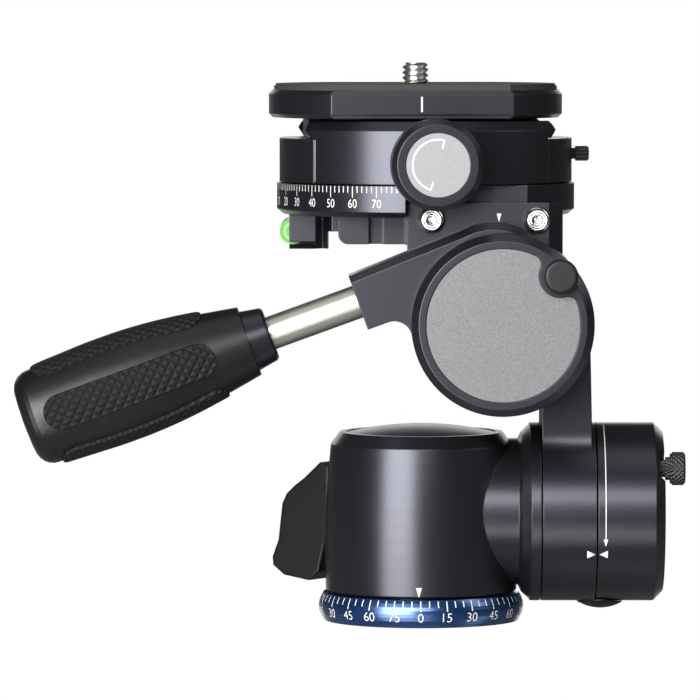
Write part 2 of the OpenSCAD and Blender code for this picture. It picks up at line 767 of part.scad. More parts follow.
module dovetail_cut() translate([-50, 0, 0]) rotate([90, 0, 90]) linear_extrude(height = 100) polygon(concat(
  [[0, clamp_top]],
  lip(0.35),
  [[0, jaw_top + 2]]
));

module clamp_body() color("#232427") at_clamp() difference() {
  union() {
    translate([0, 0, clamp_z]) cylinder(h = clamp_h, r = clamp_r);
    intersection() {
      clamp_disc(clamp_z, jaw_top);
      translate([-50, 5, clamp_z]) cube([100, 50, 40]);
    }
  }
  dovetail_cut();
  translate([-50, -70 + jaw_seam + seam, clamp_z - 1]) cube([100, 70, 40]);
  translate([0, 0, clamp_screw_z]) bar_y(-60, screw_in + 0.3, clamp_screw_r + run);
  for (x = guide_xs) translate([x, 0, clamp_screw_z]) bar_y(-60, -5, guide_r + seat);
  translate([0, 0, clamp_z - 1]) cylinder(h = spindle_in + 1 + 0.2, r = top_spindle_r + seat);
  at_button() bar_x(button_x - 13, 60, button_neck_r + run);
  at_button() bar_x(button_x - 9, button_x - 2, 2.2);
  at_button() bar_x(button_x - 0.9, 60, button_r + seam);
}

module top_pan_spindle() color("#8f9092") at_clamp() {
  translate([0, 0, platform_z - 3.6]) cylinder(h = 3.3, r = nut_r);
  translate([0, 0, platform_z - 1]) cylinder(h = clamp_z + spindle_in - platform_z + 1, r = top_spindle_r);
}

module jaw_guide_pins() color("#b0b0ae") at_clamp() for (x = guide_xs)
  translate([x, 0, clamp_screw_z]) bar_y(-26.5, -5.2, guide_r);

module clamp_jaw() color("#232427") at_clamp() difference() {
  clamp_disc(clamp_z, jaw_top);
  translate([-50, jaw_seam, clamp_z - 1]) cube([100, 100, clamp_h + 1.25]);
  mirror([0, 1, 0]) dovetail_cut();
  translate([-50, 0, clamp_z]) cube([100, 60, 60]);
  translate([0, 0, clamp_screw_z]) bar_y(-60, 0, clamp_screw_r + run);
  for (x = guide_xs) translate([x, 0, clamp_screw_z]) bar_y(-26.8, 0, guide_r + run);
}

knob_gap_y = -clamp_r - 1.1;
clamp_knob_w = 9.6;
cap_disc_r = 7.3;

module clamp_screw() color("#b0b0ae") at_clamp() translate([0, 0, clamp_screw_z])
  bar_y(knob_gap_y - 5, screw_in, clamp_screw_r);

module clamp_knob() color("#2a2b2e") at_clamp() translate([0, 0, clamp_screw_z]) difference() {
  union() {
    bar_y(knob_gap_y - 0.6, knob_gap_y, 6.5);
    bar_y(knob_gap_y - clamp_knob_w + 1.3, knob_gap_y - 0.6, clamp_knob_r);
    cone_y(knob_gap_y - clamp_knob_w, knob_gap_y - clamp_knob_w + 1.3, clamp_knob_r - 1.2, clamp_knob_r);
  }
  bar_y(knob_gap_y - 5.1, knob_gap_y + 1, clamp_screw_r + seat);
  bar_y(knob_gap_y - clamp_knob_w - 1, knob_gap_y - clamp_knob_w + 0.6, cap_disc_r + seat);
}

module clamp_knob_cap() color("#cfcfcd") at_clamp() translate([0, 0, clamp_screw_z]) {
  bar_y(knob_gap_y - clamp_knob_w - 0.1, knob_gap_y - clamp_knob_w + 0.58, cap_disc_r);
}

module plate_release_button() color("#1f2023") at_clamp() at_button() {
  bar_x(button_x - 11, button_x + 1.1, button_neck_r);
  bar_x(button_x - 3.3, button_x - 2.1, 2.1);
  bar_x(button_x + 1, button_x + 3.8, button_r);
  cone_x(button_x + 3.8, button_x + 4.1, button_r, button_r - 0.3);
}

module release_button_spring() color("#b0b0ae") at_clamp() at_button() difference() {
  bar_x(button_x - 8.98, button_x - 3.4 - button_travel, 2.1);
  bar_x(button_x - 12, button_x, button_neck_r + 0.1);
}

// Quick release plate

rail_l = 51.4;

module plate_outline(r, flat) intersection() {
  circle(r = r);
  square([2 * r + 2, 2 * flat], center = true);
}

module quick_plate() color("#26272a") at_plate() difference() {
  union() {
    translate([0, 0, plate_z + 0.9]) linear_extrude(height = plate_h - 1.8) plate_outline(plate_r, plate_flat);
    intersection() {
      translate([0, 0, plate_z]) cylinder(h = 0.9, r1 = plate_r - 0.9, r2 = plate_r);
      translate([-50, -plate_flat + 0.4, plate_z]) cube([100, 2 * plate_flat - 0.8, 2]);
    }
    intersection() {
      translate([0, 0, plate_z + plate_h - 0.9]) cylinder(h = 0.9, r1 = plate_r, r2 = plate_r - 0.9);
      translate([-50, -plate_flat + 0.4, plate_z]) cube([100, 2 * plate_flat - 0.8, plate_h]);
    }
    translate([-rail_l / 2, 0, 0]) rotate([90, 0, 90]) linear_extrude(height = rail_l) polygon([
      [-rail_half, rail_z], [rail_half, rail_z], [rail_half, rail_z + rail_foot],
      [rail_half + rail_foot - rail_h - 0.1, plate_z + 0.1], [rail_h + 0.1 - rail_half - rail_foot, plate_z + 0.1],
      [-rail_half, rail_z + rail_foot]
    ]);
  }
  translate([0, 0, rail_z - 1]) cylinder(h = 6, r = 9.4);
  translate([0, 0, rail_z]) cylinder(h = 60, r = screw_r + run);
}

module plate_pad() color("#2e2f31") at_plate() difference() {
  union() {
    translate([0, 0, pad_z]) linear_extrude(height = 0.9) plate_outline(plate_r - 1.2, plate_flat - 1);
    translate([0, 0, pad_z + 0.9]) linear_extrude(height = pad_t - 0.9) plate_outline(plate_r - 1.6, plate_flat - 1.4);
  }
  translate([0, 0, pad_z - 1]) cylinder(h = 5, r = screw_r + 0.5);
}

neck_r = 2.35;
camera_head_r = 9;
camera_head_t = 3;
camera_tip = 0.7;
camera_head_low = rail_z + 1.4;

module camera_screw() color("#c4c4c2") at_plate() difference() {
  rotate_extrude() polygon([
    [0, camera_head_low], [camera_head_r, camera_head_low], [camera_head_r, camera_head_low + camera_head_t],
    [neck_r, camera_head_low + camera_head_t], [neck_r, pad_top], [screw_r, pad_top],
    [screw_r, pad_top + screw_out - camera_tip], [screw_r - 0.6, pad_top + screw_out], [0, pad_top + screw_out]
  ]);
  translate([-7, -1, rail_z + 1]) cube([14, 2, 1.6]);
}

foot_plate();
base_dial_ring();
tripod_socket();
pan_spindle();
foot_screws();
spindle_washer();
spindle_nut();
main_body();
body_cap();
brake_shoe();
axle_retaining_pin();
pan_lock_lever();
pan_lock_screw();
hub_arm();
side_axle();
hub_friction_ring();
tilt_axle();
tilt_friction_ring();
axle_rear_cap();
side_lock_knob();
side_pull_pin();
side_pin_spring();
rim_dog();
tilt_bracket();
cheek_screws();
front_lock_knob();
front_knob_plate();
front_pull_pin();
front_pin_spring();
handle_rod();
handle_collar();
handle_grip();
grip_pads();
pan_platform();
top_bearing_ring();
level_block();
level_vial();
top_brake_pad();
top_lock_screw();
top_pan_lock_knob();
clamp_body();
top_pan_spindle();
jaw_guide_pins();
clamp_jaw();
clamp_screw();
clamp_knob();
clamp_knob_cap();
plate_release_button();
release_button_spring();
quick_plate();
plate_pad();
camera_screw();
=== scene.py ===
"""Looks for the four-way tripod head: materials, marks, threads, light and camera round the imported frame."""

import math

import bmesh
import bpy
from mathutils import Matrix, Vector


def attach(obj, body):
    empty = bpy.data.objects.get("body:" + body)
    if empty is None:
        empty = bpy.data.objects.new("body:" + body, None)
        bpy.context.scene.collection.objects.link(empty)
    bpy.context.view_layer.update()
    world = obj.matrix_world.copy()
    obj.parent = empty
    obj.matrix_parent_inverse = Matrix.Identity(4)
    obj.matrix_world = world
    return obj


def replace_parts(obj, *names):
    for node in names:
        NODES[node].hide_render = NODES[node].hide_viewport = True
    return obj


MM = 0.001
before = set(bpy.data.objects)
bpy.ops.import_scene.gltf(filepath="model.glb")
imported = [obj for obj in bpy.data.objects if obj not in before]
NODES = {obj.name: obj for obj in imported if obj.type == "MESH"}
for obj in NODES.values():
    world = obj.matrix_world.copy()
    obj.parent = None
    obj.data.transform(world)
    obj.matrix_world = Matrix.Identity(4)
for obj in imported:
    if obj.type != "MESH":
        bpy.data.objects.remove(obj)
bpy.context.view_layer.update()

# Places shared with the CAD frame, in millimetres and degrees
TURN = 3.0
SIDE_Z = 25.4
HUB_R = 21.0
TOP_X = 1.0
TILT = Vector((18.3, 0.0, 71.3))
HANDLE_SLOPE = 20.0
ROD_N = 16.0
HANDLE_Y = -28.4
PLATE_SHIFT = -2.4
LEVEL = (-30.15, 91.7)
CHEEK_SCREWS = [(1.85, 95.15), (26.2, 95.15)]
PIN_OFFSET = 17.4
PIN_ANGLE = 39.6
RING_R = 24.0
BODY_R = 22.6
PLATFORM_R = 34.9
JAW_R = 34.3
CHEEK_FRONT = -30.2
PLATE_FRONT = -27.2
CLAMP_CAP_FRONT = -45.1
KNOB_Z = 108.1


# Materials

def new_material(name):
    mat = bpy.data.materials.new(name)
    mat.use_nodes = True
    tree = mat.node_tree
    return mat, tree, tree.nodes["Principled BSDF"]


def math_node(tree, operation, a, b=None):
    made = tree.nodes.new("ShaderNodeMath")
    made.operation = operation
    for index, value in enumerate((a, b)):
        if value is None:
            continue
        if isinstance(value, (int, float)):
            made.inputs[index].default_value = value
        else:
            tree.links.new(value, made.inputs[index])
    return made.outputs[0]


def place_of(tree):
    return tree.nodes.new("ShaderNodeTexCoord").outputs["Object"]


def fine_grain(tree, bsdf, scale, bump, low, high, edge=0.0):
    """A fine blasted grain: noise in the roughness and a slight bump. Edge rounds corners' light, in mm."""
    noise = tree.nodes.new("ShaderNodeTexNoise")
    noise.inputs["Scale"].default_value = scale
    noise.inputs["Detail"].default_value = 3.0
    tree.links.new(place_of(tree), noise.inputs["Vector"])
    spread = tree.nodes.new("ShaderNodeMapRange")
    spread.inputs["To Min"].default_value = low
    spread.inputs["To Max"].default_value = high
    tree.links.new(noise.outputs["Fac"], spread.inputs["Value"])
    tree.links.new(spread.outputs["Result"], bsdf.inputs["Roughness"])
    bumps = tree.nodes.new("ShaderNodeBump")
    bumps.inputs["Strength"].default_value = bump
    bumps.inputs["Distance"].default_value = 0.00004
    tree.links.new(noise.outputs["Fac"], bumps.inputs["Height"])
    if edge:
        soft = tree.nodes.new("ShaderNodeBevel")
        soft.samples = 6
        soft.inputs["Radius"].default_value = edge * MM
        tree.links.new(soft.outputs["Normal"], bumps.inputs["Normal"])
    tree.links.new(bumps.outputs["Normal"], bsdf.inputs["Normal"])
    return noise


def coated(name, colour, metallic, low, high, scale=2600.0, bump=0.25, tint=(1.0, 1.0, 1.0), coat=0.0,
           edge=0.0):
    mat, tree, bsdf = new_material(name)
    bsdf.inputs["Specular Tint"].default_value = (*tint, 1.0)
    bsdf.inputs["Coat Weight"].default_value = coat
    bsdf.inputs["Coat Roughness"].default_value = 0.22
    bsdf.inputs["Base Color"].default_value = (*colour, 1.0)
    bsdf.inputs["Metallic"].default_value = metallic
    fine_grain(tree, bsdf, scale, bump, low, high, edge)
    return mat


def speckled(name, dark, light, scale):
    """Grey with a salt and pepper speckle."""
    mat, tree, bsdf = new_material(name)
    noise = fine_grain(tree, bsdf, scale, 0.35, 0.45, 0.6)
    ramp = tree.nodes.new("ShaderNodeValToRGB")
    ramp.color_ramp.elements[0].position = 0.36
    ramp.color_ramp.elements[0].color = (*dark, 1.0)
    ramp.color_ramp.elements[1].position = 0.64
    ramp.color_ramp.elements[1].color = (*light, 1.0)
    tree.links.new(noise.outputs["Fac"], ramp.inputs["Fac"])
    tree.links.new(ramp.outputs["Color"], bsdf.inputs["Base Color"])
    bsdf.inputs["Metallic"].default_value = 0.35
    return mat


def turned_steel(name, colour, roughness, stretch):
    """Steel with fine lines: noise stretched by the three factors along X, Y and Z."""
    mat, tree, bsdf = new_material(name)
    mapping = tree.nodes.new("ShaderNodeMapping")
    mapping.inputs["Scale"].default_value = stretch
    mapping.inputs["Rotation"].default_value = (0.0, math.radians(HANDLE_SLOPE), 0.0)
    mapping.vector_type = "TEXTURE"
    noise = tree.nodes.new("ShaderNodeTexNoise")
    noise.inputs["Scale"].default_value = 900.0
    noise.inputs["Detail"].default_value = 4.0
    tree.links.new(place_of(tree), mapping.inputs["Vector"])
    tree.links.new(mapping.outputs["Vector"], noise.inputs["Vector"])
    spread = tree.nodes.new("ShaderNodeMapRange")
    spread.inputs["To Min"].default_value = roughness - 0.06
    spread.inputs["To Max"].default_value = roughness + 0.1
    tree.links.new(noise.outputs["Fac"], spread.inputs["Value"])
    tree.links.new(spread.outputs["Result"], bsdf.inputs["Roughness"])
    bumps = tree.nodes.new("ShaderNodeBump")
    bumps.inputs["Strength"].default_value = 0.2
    bumps.inputs["Distance"].default_value = 0.00003
    tree.links.new(noise.outputs["Fac"], bumps.inputs["Height"])
    tree.links.new(bumps.outputs["Normal"], bsdf.inputs["Normal"])
    bsdf.inputs["Base Color"].default_value = (*colour, 1.0)
    bsdf.inputs["Metallic"].default_value = 1.0
    return mat


def knurled(name, colour, metallic, centre, axis, count, slant=0.0):
    """Ribs along an axis, as on a pin's head. A slant, in ribs per metre, crosses them into diamonds."""
    mat, tree, bsdf = new_material(name)
    split = tree.nodes.new("ShaderNodeSeparateXYZ")
    tree.links.new(place_of(tree), split.inputs[0])
    across = [i for i in range(3) if i != axis]
    first = math_node(tree, "SUBTRACT", split.outputs[across[0]], centre[across[0]] * MM)
    second = math_node(tree, "SUBTRACT", split.outputs[across[1]], centre[across[1]] * MM)
    angle = math_node(tree, "MULTIPLY", math_node(tree, "ARCTAN2", first, second), float(count))
    along = math_node(tree, "MULTIPLY", split.outputs[axis], slant)
    waves = [math_node(tree, "SINE", math_node(tree, kind, angle, along)) for kind in ("ADD", "SUBTRACT")]
    height = math_node(tree, "MINIMUM", waves[0], waves[1])
    bumps = tree.nodes.new("ShaderNodeBump")
    bumps.inputs["Strength"].default_value = 0.8
    bumps.inputs["Distance"].default_value = 0.0002
    tree.links.new(height, bumps.inputs["Height"])
    tree.links.new(bumps.outputs["Normal"], bsdf.inputs["Normal"])
    bsdf.inputs["Base Color"].default_value = (*colour, 1.0)
    bsdf.inputs["Metallic"].default_value = metallic
    bsdf.inputs["Roughness"].default_value = 0.42
    return mat


def diamond_rubber(name):
    """Rubber with a diamond pattern wrapped round the handle's axis, its grooves painted darker as shade."""
    pitch_along = 2.6 * MM
    turns = 29.0
    mat, tree, bsdf = new_material(name)
    centre = TILT + Vector((-ROD_N * math.sin(math.radians(HANDLE_SLOPE)), HANDLE_Y,
                            ROD_N * math.cos(math.radians(HANDLE_SLOPE))))
    shift = tree.nodes.new("ShaderNodeVectorMath")
    shift.operation = "SUBTRACT"
    shift.inputs[1].default_value = centre * MM
    turn = tree.nodes.new("ShaderNodeVectorRotate")
    turn.rotation_type = "Y_AXIS"
    turn.inputs["Angle"].default_value = math.radians(HANDLE_SLOPE)
    split = tree.nodes.new("ShaderNodeSeparateXYZ")
    tree.links.new(place_of(tree), shift.inputs[0])
    tree.links.new(shift.outputs[0], turn.inputs["Vector"])
    tree.links.new(turn.outputs[0], split.inputs[0])
    angle = math_node(tree, "ARCTAN2", split.outputs[2], split.outputs[1])
    around = math_node(tree, "MULTIPLY", angle, turns / (2.0 * math.pi))
    along = math_node(tree, "DIVIDE", split.outputs[0], pitch_along)
    ridges = []
    for operation in ("ADD", "SUBTRACT"):
        whole = math_node(tree, operation, along, around)
        saw = math_node(tree, "PINGPONG", whole, 0.5)
        ridges.append(math_node(tree, "MINIMUM", math_node(tree, "MULTIPLY", saw, 2.0), 0.8))
    height = math_node(tree, "MINIMUM", ridges[0], ridges[1])
    bumps = tree.nodes.new("ShaderNodeBump")
    bumps.inputs["Strength"].default_value = 1.0
    bumps.inputs["Distance"].default_value = 0.00055
    tree.links.new(height, bumps.inputs["Height"])
    tree.links.new(bumps.outputs["Normal"], bsdf.inputs["Normal"])
    # Painted shade: the grooves get a darker colour than the ridges.
    groove_shade_ramp = tree.nodes.new("ShaderNodeValToRGB")
    groove_shade_ramp.color_ramp.elements[0].color = (0.002, 0.002, 0.002, 1.0)
    groove_shade_ramp.color_ramp.elements[1].position = 0.6
    groove_shade_ramp.color_ramp.elements[1].color = (0.005, 0.005, 0.0052, 1.0)
    tree.links.new(height, groove_shade_ramp.inputs["Fac"])
    tree.links.new(groove_shade_ramp.outputs["Color"], bsdf.inputs["Base Color"])
    bsdf.inputs["Roughness"].default_value = 0.7
    bsdf.inputs["Specular IOR Level"].default_value = 0.25
    return mat


def rings_about(tree, centres, pitch):
    """Rings round the nearest of some axes along Y, from -1 to 1. Centres are (x, z) in mm."""
    split = tree.nodes.new("ShaderNodeSeparateXYZ")
    tree.links.new(place_of(tree), split.inputs[0])
    nearest = None
    for x, z in centres:
        first = math_node(tree, "SUBTRACT", split.outputs[0], x * MM)
        second = math_node(tree, "SUBTRACT", split.outputs[2], z * MM)
        square = math_node(tree, "ADD", math_node(tree, "MULTIPLY", first, first),
                           math_node(tree, "MULTIPLY", second, second))
        nearest = square if nearest is None else math_node(tree, "MINIMUM", nearest, square)
    distance = math_node(tree, "SQRT", nearest)
    return math_node(tree, "SINE", math_node(tree, "MULTIPLY", distance, 2.0 * math.pi / (pitch * MM)))


def lathe_face(name, colour, centres, pitch):
    """Steel with turned rings on its end faces."""
    mat, tree, bsdf = new_material(name)
    bumps = tree.nodes.new("ShaderNodeBump")
    bumps.inputs["Strength"].default_value = 0.5
    bumps.inputs["Distance"].default_value = 0.00008
    tree.links.new(rings_about(tree, centres, pitch), bumps.inputs["Height"])
    tree.links.new(bumps.outputs["Normal"], bsdf.inputs["Normal"])
    bsdf.inputs["Base Color"].default_value = (*colour, 1.0)
    bsdf.inputs["Metallic"].default_value = 1.0
    bsdf.inputs["Roughness"].default_value = 0.26
    return mat


def glass_with_painted_glow(name):
    mat, tree, bsdf = new_material(name)
    ramp = tree.nodes.new("ShaderNodeValToRGB")
    ramp.color_ramp.elements[0].color = (0.18, 0.42, 0.13, 1.0)
    ramp.color_ramp.elements[1].color = (0.34, 0.72, 0.26, 1.0)
    tree.links.new(rings_about(tree, [LEVEL], 1.5), ramp.inputs["Fac"])
    tree.links.new(ramp.outputs["Color"], bsdf.inputs["Base Color"])
    bsdf.inputs["Roughness"].default_value = 0.08
    bsdf.inputs["Transmission Weight"].default_value = 0.35
    # The emission makes the vial glow faintly green: a painted glow, since no lamp is in it.
    bsdf.inputs["Emission Color"].default_value = (0.35, 0.8, 0.25, 1.0)
    bsdf.inputs["Emission Strength"].default_value = 0.06
    return mat


black = coated("black_anodised", (0.005, 0.0051, 0.006), 0.0, 0.27, 0.34, tint=(0.92, 0.93, 1.08),
               edge=0.35)
black_dull = coated("black_cast", (0.003, 0.003, 0.0032), 0.0, 0.36, 0.46, tint=(0.6, 0.6, 0.62),
                    edge=0.9)
black_pad = coated("plate_rubber", (0.018, 0.018, 0.019), 0.0, 0.7, 0.85, scale=1500.0, bump=0.5)
grip_black = coated("grip_plastic", (0.003, 0.003, 0.0031), 0.0, 0.36, 0.44, tint=(0.7, 0.7, 0.7))
blue = coated("blue_anodised", (0.006, 0.045, 0.16), 0.8, 0.26, 0.32, coat=1.0)
speckle = speckled("grey_speckle", (0.088, 0.088, 0.09), (0.14, 0.14, 0.143), 4200.0)
silver = speckled("silver_cap", (0.185, 0.185, 0.188), (0.235, 0.235, 0.24), 4200.0)
bronze = coated("bronze", (0.42, 0.27, 0.12), 1.0, 0.35, 0.5)
cream = coated("bearing_plastic", (0.5, 0.45, 0.32), 0.0, 0.5, 0.6)
steel = turned_steel("steel", (0.5, 0.5, 0.49), 0.34, (1.0, 1.0, 1.0))
bright = turned_steel("bright_steel", (0.62, 0.62, 0.6), 0.3, (1.0, 1.0, 1.0))
rod_steel = turned_steel("rod_steel", (0.5, 0.48, 0.44), 0.36, (1.0, 14.0, 14.0))
white_paint = coated("white_paint", (0.55, 0.55, 0.55), 0.0, 0.5, 0.6)
screw_steel = lathe_face("screw_steel", (0.42, 0.42, 0.41), CHEEK_SCREWS, 0.55)
# Grey for a line painted on the jaw's seam edge: a painted highlight where that edge catches the light.
painted_edge_highlight = coated("painted_edge_highlight", (0.4, 0.4, 0.4), 0.2, 0.4, 0.5)
pin_angle = math.radians(PIN_ANGLE)
side_pin_centre = (0.0, -PIN_OFFSET * math.cos(pin_angle), SIDE_Z + PIN_OFFSET * math.sin(pin_angle))
side_pin_metal = knurled("knurled_pin", (0.05, 0.05, 0.052), 0.8, side_pin_centre, 0, 22, slant=5500.0)
button_metal = knurled("ribbed_button", (0.02, 0.02, 0.021), 0.5, (0.0, 1.85, 109.7), 0, 14)
diamonds = diamond_rubber("grip_rubber")
green = glass_with_painted_glow("green_vial_painted_glow")

FINISHES = {
    black: ["foot_plate", "main_body", "body_cap", "hub_arm", "axle_rear_cap", "side_lock_knob",
            "tilt_bracket", "pan_platform", "level_block", "front_lock_knob", "handle_collar",
            "top_pan_lock_knob", "clamp_body", "clamp_jaw", "clamp_knob", "quick_plate"],
    black_dull: ["pan_lock_lever", "rim_dog", "front_pull_pin"],
    blue: ["base_dial_ring"],
    speckle: ["front_knob_plate"],
    silver: ["clamp_knob_cap"],
    steel: ["tripod_socket", "pan_spindle", "foot_screws", "spindle_washer", "spindle_nut",
            "axle_retaining_pin", "pan_lock_screw", "side_axle", "side_pin_spring", "tilt_axle",
            "front_pin_spring", "top_lock_screw", "top_pan_spindle", "jaw_guide_pins", "clamp_screw",
            "release_button_spring"],
    bright: ["camera_screw"],
    screw_steel: ["cheek_screws"],
    rod_steel: ["handle_rod"],
    bronze: ["brake_shoe", "top_brake_pad"],
    cream: ["hub_friction_ring", "tilt_friction_ring", "top_bearing_ring"],
    side_pin_metal: ["side_pull_pin"],
    button_metal: ["plate_release_button"],
    grip_black: ["handle_grip"],
    diamonds: ["grip_pads"],
    black_pad: ["plate_pad"],
    green: ["level_vial"],
}
for finish, names in FINISHES.items():
    for name in names:
        mesh = NODES[name].data
        mesh.materials.clear()
        mesh.materials.append(finish)


# Shapes

def add_mesh(name, points, faces, material, body, smooth=False):
    mesh = bpy.data.meshes.new(name)
    mesh.from_pydata([tuple(Vector(p) * MM) for p in points], [], faces)
    mesh.materials.append(material)
    if smooth:
        mesh.shade_smooth()
    made = bpy.data.objects.new(name, mesh)
    bpy.context.scene.collection.objects.link(made)
    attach(made, body)
    return made


def flat_shapes(name, shapes, place, material, body):
    """Several flat outlines put on a surface: place turns (s, h) into a point."""
    points = []
    faces = []
    for shape in shapes:
        start = len(points)
        points += [place(s, h) for s, h in shape]
        faces.append(list(range(start, start + len(shape))))
    return add_mesh(name, points, faces, material, body)


def digits(text, height, narrow=1.0):
    """A number, centred, as a list of outlines in thin rows, so that it follows a curved profile."""
    curve = bpy.data.curves.new("digits", "FONT")
    curve.body = text
    curve.size = 1.0
    curve.offset = -0.008
    curve.align_x = "CENTER"
    curve.align_y = "CENTER"
    made = bpy.data.objects.new("digits", curve)
    bpy.context.scene.collection.objects.link(made)
    shape = bmesh.new()
    shape.from_mesh(made.to_mesh())
    made.to_mesh_clear()
    bpy.data.objects.remove(made)
    lows = [min(v.co[i] for v in shape.verts) for i in (0, 1)]
    highs = [max(v.co[i] for v in shape.verts) for i in (0, 1)]
    cuts = 4
    for i in range(1, cuts):
        level = lows[1] + (highs[1] - lows[1]) * i / cuts
        every = shape.verts[:] + shape.edges[:] + shape.faces[:]
        bmesh.ops.bisect_plane(shape, geom=every, plane_co=(0.0, level, 0.0), plane_no=(0.0, 1.0, 0.0))
    scale = height / (highs[1] - lows[1])
    mids = [(lows[i] + highs[i]) / 2 for i in (0, 1)]
    outlines = [[((v.co[0] - mids[0]) * scale * narrow, (v.co[1] - mids[1]) * scale) for v in face.verts]
                for face in shape.faces]
    shape.free()
    return outlines


def box_shape(s, low, high, width):
    """A narrow upright strip, cut into short lengths so that it follows a curved profile."""
    steps = 3
    rows = [low + (high - low) * i / steps for i in range(steps + 1)]
    return [[(s - width / 2, a), (s + width / 2, a), (s + width / 2, b), (s - width / 2, b)]
            for a, b in zip(rows, rows[1:])]


def shifted(outlines, s, h):
    return [[(x + s, y + h) for x, y in outline] for outline in outlines]


PROUD = 0.04
BASE_DIAL_TURN = -0.8
PLATFORM_DIAL_TURN = 0.5


def base_ring_radius(z):
    return 24.1 - 1.1 * (2 * z / 6.5 - 1) ** 2


def on_base_ring(s, z):
    """s is the distance along the ring's radius, to the right of the front."""
    angle = s / RING_R + math.radians(BASE_DIAL_TURN)
    r = base_ring_radius(z) + PROUD
    return (r * math.sin(angle), -r * math.cos(angle), z)


shapes = []
for step in range(72):
    s = math.radians(step * 5) * RING_R
    low = 3.9 if step % 3 == 0 else 4.8
    shapes += box_shape(s, low, 6.25, 0.26)
flat_shapes("base_dial_ticks", shapes, on_base_ring, white_paint, "base")
shapes = []
for step in range(24):
    s = math.radians(step * 15) * RING_R
    shapes += shifted(digits(str(step * 15 % 90), 2.05), s, 2.45)
flat_shapes("base_dial_numbers", shapes, on_base_ring, white_paint, "base")


def on_platform(s, z):
    angle = s / PLATFORM_R + math.radians(PLATFORM_DIAL_TURN)
    r = PLATFORM_R + PROUD
    return (TOP_X + r * math.sin(angle), -r * math.cos(angle), z)


shapes = []
numbers = []
for step in range(-90, -5):
    degrees = step * 2
    s = math.radians(degrees) * PLATFORM_R
    long_tick = degrees % 10 == 0
    shapes += box_shape(s, 100.3 if long_tick else 101.4, 102.9, 0.19)
    if long_tick:
        numbers += shifted(digits(str((degrees + 180) % 90), 1.95, 0.85), s, 98.9)
flat_shapes("platform_dial_ticks", shapes, on_platform, white_paint, "tilt")
flat_shapes("platform_dial_numbers", numbers, on_platform, white_paint, "tilt")


def on_body(s, z):
    angle = s / BODY_R
    r = BODY_R - 0.0021 * (z - 16) ** 2 + PROUD
    return (r * math.sin(angle), -r * math.cos(angle), z)


flat_shapes("body_index", [[(-1.45, 9.35), (-0.05, 9.35), (-0.75, 7.0)]], on_body, white_paint, "housing")


def on_side_cylinder(s, x):
    """s is the distance upwards from the front along the side axis' cylinder; the second value is X."""
    angle = s / HUB_R
    r = HUB_R + PROUD
    return (x, -r * math.cos(angle), SIDE_Z + r * math.sin(angle))


mark_s = -math.radians(24.0) * HUB_R
flat_shapes("hub_index", [[(mark_s - 1.0, 38.45), (mark_s + 1.0, 38.45), (mark_s, 40.4)]],
            on_side_cylinder, white_paint, "hub")
flat_shapes("side_knob_index", [[(mark_s - 1.0, 43.25), (mark_s + 1.0, 43.25), (mark_s, 41.3)]],
            on_side_cylinder, white_paint, "side_knob")
arrow_tip = -math.radians(18.5) * HUB_R
arrow_top = math.radians(80.0) * HUB_R
arrow = []
steps = 40
for i in range(steps):
    a = arrow_tip + 1.4 + (arrow_top - arrow_tip - 1.4) * i / steps
    b = arrow_tip + 1.4 + (arrow_top - arrow_tip - 1.4) * (i + 1) / steps
    arrow.append([(a, 42.65), (a, 42.87), (b, 42.87), (b, 42.65)])
arrow.append([(arrow_tip, 42.76), (arrow_tip + 1.8, 43.3), (arrow_tip + 1.8, 42.22)])
flat_shapes("side_knob_arrow", arrow, on_side_cylinder, white_paint, "side_knob")


def on_cheek(s, z):
    return (s, CHEEK_FRONT - PROUD, z)


flat_shapes("tilt_index", [[(17.0, 96.6), (18.1, 96.6), (17.55, 94.6)]], on_cheek, white_paint, "tilt")


def turned(x, y, z):
    a = math.radians(TURN)
    return (TOP_X + x * math.cos(a) - y * math.sin(a), x * math.sin(a) + y * math.cos(a), z)


def on_plate_flat(s, z):
    return turned(PLATE_SHIFT + s, PLATE_FRONT - PROUD, z)


flat_shapes("plate_index", box_shape(-0.2, 119.9, 123.4, 0.42), on_plate_flat, white_paint, "plate")


def on_jaw(s, z):
    angle = s / JAW_R
    r = JAW_R + PROUD
    return turned(r * math.sin(angle), -r * math.cos(angle), z)


# A thin grey line along the jaw's left seam edge: a painted highlight of the edge catching the light.
jaw_highlight_s = -math.radians(51.8) * JAW_R
flat_shapes("jaw_edge_painted_highlight", box_shape(jaw_highlight_s, 103.7, 113.3, 0.2), on_jaw, painted_edge_highlight, "jaw")


def on_clamp_cap(s, h):
    return turned(s, CLAMP_CAP_FRONT - PROUD, KNOB_Z + h)


def arc_with_bars(radius, start, end, width, bar):
    """An arc from one angle to another, in degrees from the right, with a bar inwards at each end."""
    out = []
    count = 32
    near, far = radius - width / 2, radius + width / 2
    for i in range(count):
        a = math.radians(start + (end - start) * i / count)
        b = math.radians(start + (end - start) * (i + 1) / count)
        out.append([(near * math.cos(a), near * math.sin(a)), (far * math.cos(a), far * math.sin(a)),
                    (far * math.cos(b), far * math.sin(b)), (near * math.cos(b), near * math.sin(b))])
    for angle in (start, end):
        c, d = math.cos(math.radians(angle)), math.sin(math.radians(angle))
        half = width / 2
        out.append([(far * c - half * d, far * d + half * c), (far * c + half * d, far * d - half * c),
                    ((near - bar) * c + half * d, (near - bar) * d - half * c),
                    ((near - bar) * c - half * d, (near - bar) * d + half * c)])
    return out


cap_mark = arc_with_bars(5.85, 76, 253, 0.36, 1.7)
flat_shapes("clamp_cap_mark", cap_mark, on_clamp_cap, white_paint, "clamp_knob")


# The camera screw with its thread

